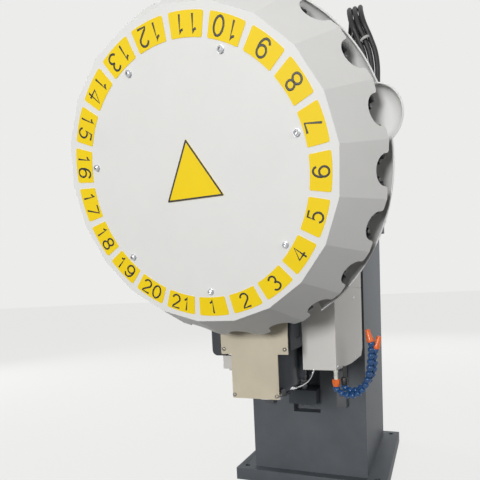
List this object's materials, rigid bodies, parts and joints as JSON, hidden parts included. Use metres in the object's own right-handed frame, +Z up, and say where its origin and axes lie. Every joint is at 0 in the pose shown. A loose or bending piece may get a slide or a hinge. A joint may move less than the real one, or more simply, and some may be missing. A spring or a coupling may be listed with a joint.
{
  "type": "turret tool changer and spindle head of a machining center",
  "caption": "Tilted round turret tool changer with numbered stations in front of a vertical spindle head, both carried on a slide column with a bolted foot.",
  "frame": {"origin": "centre of the column's bolting face, on the floor of the foot", "axes": "+Z up along the spindle, -Y to the front, where the turret faces, +X to the operator's right"},
  "size_m": [0.6694, 1.1694, 1.408],
  "materials": {
    "casting_grey": "satin",
    "rail_steel": "satin",
    "motor_black": "satin",
    "coupling_alloy": "satin",
    "cable_black": "matte",
    "box_dark": "satin",
    "gearbox_grey": "satin",
    "cover_white": "satin",
    "tag_yellow": "satin",
    "screw_steel": "satin",
    "gripper_dark": "satin",
    "plate_cream": "satin",
    "side_white": "satin",
    "spindle_dark": "satin",
    "spindle_steel": "polished",
    "hose_blue": "gloss",
    "nozzle_orange": "gloss"
  },
  "bodies": {
    "base": {"column_casting": "casting_grey", "z_rails": "rail_steel", "z_motor_bracket": "casting_grey", "z_motor": "motor_black", "z_bearings": "casting_grey", "turret_bracket": "casting_grey", "pivot_shaft": "rail_steel", "junction_box": "box_dark", "conduit_cables": "cable_black"},
    "ballscrew": {"z_ballscrew": "rail_steel", "z_coupling": "coupling_alloy"},
    "carriage": {"carriage_housing": "gearbox_grey", "turret_motor": "motor_black", "rear_guard": "cover_white", "guard_brackets": "rail_steel", "swing_rollers": "rail_steel"},
    "turret": {"front_cover": "cover_white", "station_tags": "tag_yellow", "cover_screws": "screw_steel", "sign_plate": "tag_yellow", "carrier_disc": "gearbox_grey", "turret_shaft": "rail_steel", "gripper_arms": "gripper_dark", "claw_pins": "screw_steel", "claw_springs": "screw_steel"},
    "head": {"head_casting": "casting_grey", "front_plate": "plate_cream", "head_screws": "screw_steel", "side_cover": "side_white", "spindle_housing": "spindle_dark", "swing_cams": "rail_steel", "limit_switch": "side_white", "coolant_hoses": "hose_blue", "hose_nozzles": "nozzle_orange", "guide_blocks": "rail_steel", "ball_nut": "rail_steel", "spindle_motor": "motor_black", "valve_block": "box_dark"},
    "spindle": {"spindle_shaft": "spindle_steel"},
    "claw_body_01": {"claw_01": "gripper_dark"},
    "claw_body_02": {"claw_02": "gripper_dark"},
    "claw_body_03": {"claw_03": "gripper_dark"},
    "claw_body_04": {"claw_04": "gripper_dark"},
    "claw_body_05": {"claw_05": "gripper_dark"},
    "claw_body_06": {"claw_06": "gripper_dark"},
    "claw_body_07": {"claw_07": "gripper_dark"},
    "claw_body_08": {"claw_08": "gripper_dark"},
    "claw_body_09": {"claw_09": "gripper_dark"},
    "claw_body_10": {"claw_10": "gripper_dark"},
    "claw_body_11": {"claw_11": "gripper_dark"},
    "claw_body_12": {"claw_12": "gripper_dark"},
    "claw_body_13": {"claw_13": "gripper_dark"},
    "claw_body_14": {"claw_14": "gripper_dark"},
    "claw_body_15": {"claw_15": "gripper_dark"},
    "claw_body_16": {"claw_16": "gripper_dark"},
    "claw_body_17": {"claw_17": "gripper_dark"},
    "claw_body_18": {"claw_18": "gripper_dark"},
    "claw_body_19": {"claw_19": "gripper_dark"},
    "claw_body_20": {"claw_20": "gripper_dark"},
    "claw_body_21": {"claw_21": "gripper_dark"}
  },
  "joints": [
    {"name": "z_feed", "type": "slide", "parent": "base", "child": "head", "axis": [0, 0, 1], "range_m": [-0.13, 0.2]},
    {"name": "ballscrew_spin", "type": "hinge", "parent": "base", "child": "ballscrew", "pos_m": [0, -0.24, 0.8], "axis": [0, 0, 1], "range_deg": [-4510, 2930]},
    {"name": "turret_swing", "type": "hinge", "parent": "base", "child": "carriage", "pos_m": [0, -0.675, 0.9], "axis": [1, 0, 0], "range_deg": [0, 3.5]},
    {"name": "turret_spin", "type": "hinge", "parent": "carriage", "child": "turret", "pos_m": [0, -0.86, 0.83], "axis": [0, -0.9736, -0.2284], "continuous": true},
    {"name": "spindle_spin", "type": "hinge", "parent": "head", "child": "spindle", "pos_m": [0, -0.542, 0.5], "axis": [0, 0, 1], "continuous": true},
    {"name": "claw_01_open", "type": "hinge", "parent": "turret", "child": "claw_body_01", "pos_m": [-0.014, -0.72182, 0.56552], "axis": [0, 0, 1], "range_deg": [0, 8], "stiffness_Nm_per_rad": 5, "springref_deg": -5.73},
    {"name": "claw_02_open", "type": "hinge", "parent": "turret", "child": "claw_body_02", "pos_m": [0.07182, -0.72381, 0.57401], "axis": [-0.287, 0.0099, 0.9579], "range_deg": [0, 8], "stiffness_Nm_per_rad": 5, "springref_deg": -5.73},
    {"name": "claw_03_open", "type": "hinge", "parent": "turret", "child": "claw_body_03", "pos_m": [0.15126, -0.73148, 0.60674], "axis": [-0.5484, 0.0386, 0.8353], "range_deg": [0, 8], "stiffness_Nm_per_rad": 5, "springref_deg": -5.73},
    {"name": "claw_04_open", "type": "hinge", "parent": "turret", "child": "claw_body_04", "pos_m": [0.21726, -0.74417, 0.66082], "axis": [-0.7612, 0.0837, 0.6431], "range_deg": [0, 8], "stiffness_Nm_per_rad": 5, "springref_deg": -5.73},
    {"name": "claw_05_open", "type": "hinge", "parent": "turret", "child": "claw_body_05", "pos_m": [0.26395, -0.76073, 0.73143], "axis": [-0.9063, 0.1411, 0.3984], "range_deg": [0, 8], "stiffness_Nm_per_rad": 5, "springref_deg": -5.73},
    {"name": "claw_06_open", "type": "hinge", "parent": "turret", "child": "claw_body_06", "pos_m": [0.28719, -0.7797, 0.81231], "axis": [-0.9709, 0.2057, 0.123], "range_deg": [0, 8], "stiffness_Nm_per_rad": 5, "springref_deg": -5.73},
    {"name": "claw_07_open", "type": "hinge", "parent": "turret", "child": "claw_body_07", "pos_m": [0.28491, -0.79939, 0.89626], "axis": [-0.9492, 0.2718, -0.1588], "range_deg": [0, 8], "stiffness_Nm_per_rad": 5, "springref_deg": -5.73},
    {"name": "claw_08_open", "type": "hinge", "parent": "turret", "child": "claw_body_08", "pos_m": [0.25732, -0.81805, 0.97583], "axis": [-0.8431, 0.3335, -0.4218], "range_deg": [0, 8], "stiffness_Nm_per_rad": 5, "springref_deg": -5.73},
    {"name": "claw_09_open", "type": "hinge", "parent": "turret", "child": "claw_body_09", "pos_m": [0.20686, -0.83403, 1.04394], "axis": [-0.6622, 0.3853, -0.6427], "range_deg": [0, 8], "stiffness_Nm_per_rad": 5, "springref_deg": -5.73},
    {"name": "claw_10_open", "type": "hinge", "parent": "turret", "child": "claw_body_10", "pos_m": [0.13803, -0.8459, 1.09455], "axis": [-0.4224, 0.4226, -0.8018], "range_deg": [0, 8], "stiffness_Nm_per_rad": 5, "springref_deg": -5.73},
    {"name": "claw_11_open", "type": "hinge", "parent": "turret", "child": "claw_body_11", "pos_m": [0.05692, -0.85261, 1.12316], "axis": [-0.1451, 0.4422, -0.8851], "range_deg": [0, 8], "stiffness_Nm_per_rad": 5, "springref_deg": -5.73},
    {"name": "claw_12_open", "type": "hinge", "parent": "turret", "child": "claw_body_12", "pos_m": [-0.02924, -0.85356, 1.12722], "axis": [0.1451, 0.4422, -0.8851], "range_deg": [0, 8], "stiffness_Nm_per_rad": 5, "springref_deg": -5.73},
    {"name": "claw_13_open", "type": "hinge", "parent": "turret", "child": "claw_body_13", "pos_m": [-0.1128, -0.84867, 1.10638], "axis": [0.4224, 0.4226, -0.8018], "range_deg": [0, 8], "stiffness_Nm_per_rad": 5, "springref_deg": -5.73},
    {"name": "claw_14_open", "type": "hinge", "parent": "turret", "child": "claw_body_14", "pos_m": [-0.18634, -0.83838, 1.06249], "axis": [0.6622, 0.3853, -0.6427], "range_deg": [0, 8], "stiffness_Nm_per_rad": 5, "springref_deg": -5.73},
    {"name": "claw_15_open", "type": "hinge", "parent": "turret", "child": "claw_body_15", "pos_m": [-0.24332, -0.82359, 0.99944], "axis": [0.8431, 0.3335, -0.4218], "range_deg": [0, 8], "stiffness_Nm_per_rad": 5, "springref_deg": -5.73},
    {"name": "claw_16_open", "type": "hinge", "parent": "turret", "child": "claw_body_16", "pos_m": [-0.27868, -0.80562, 0.92284], "axis": [0.9492, 0.2718, -0.1588], "range_deg": [0, 8], "stiffness_Nm_per_rad": 5, "springref_deg": -5.73},
    {"name": "claw_17_open", "type": "hinge", "parent": "turret", "child": "claw_body_17", "pos_m": [-0.28928, -0.78607, 0.83949], "axis": [0.9709, 0.2057, 0.123], "range_deg": [0, 8], "stiffness_Nm_per_rad": 5, "springref_deg": -5.73},
    {"name": "claw_18_open", "type": "hinge", "parent": "turret", "child": "claw_body_18", "pos_m": [-0.27418, -0.76668, 0.75681], "axis": [0.9063, 0.1411, 0.3984], "range_deg": [0, 8], "stiffness_Nm_per_rad": 5, "springref_deg": -5.73},
    {"name": "claw_19_open", "type": "hinge", "parent": "turret", "child": "claw_body_19", "pos_m": [-0.23471, -0.74917, 0.68213], "axis": [0.7612, 0.0837, 0.6431], "range_deg": [0, 8], "stiffness_Nm_per_rad": 5, "springref_deg": -5.73},
    {"name": "claw_20_open", "type": "hinge", "parent": "turret", "child": "claw_body_20", "pos_m": [-0.17439, -0.73508, 0.6221], "axis": [0.5484, 0.0386, 0.8353], "range_deg": [0, 8], "stiffness_Nm_per_rad": 5, "springref_deg": -5.73},
    {"name": "claw_21_open", "type": "hinge", "parent": "turret", "child": "claw_body_21", "pos_m": [-0.09857, -0.72569, 0.58204], "axis": [0.287, 0.0099, 0.9579], "range_deg": [0, 8], "stiffness_Nm_per_rad": 5, "springref_deg": -5.73}
  ],
  "couplings": [
    {"joint": "ballscrew_spin", "follows": "z_feed", "rad_per_m": -392.7}
  ]
}
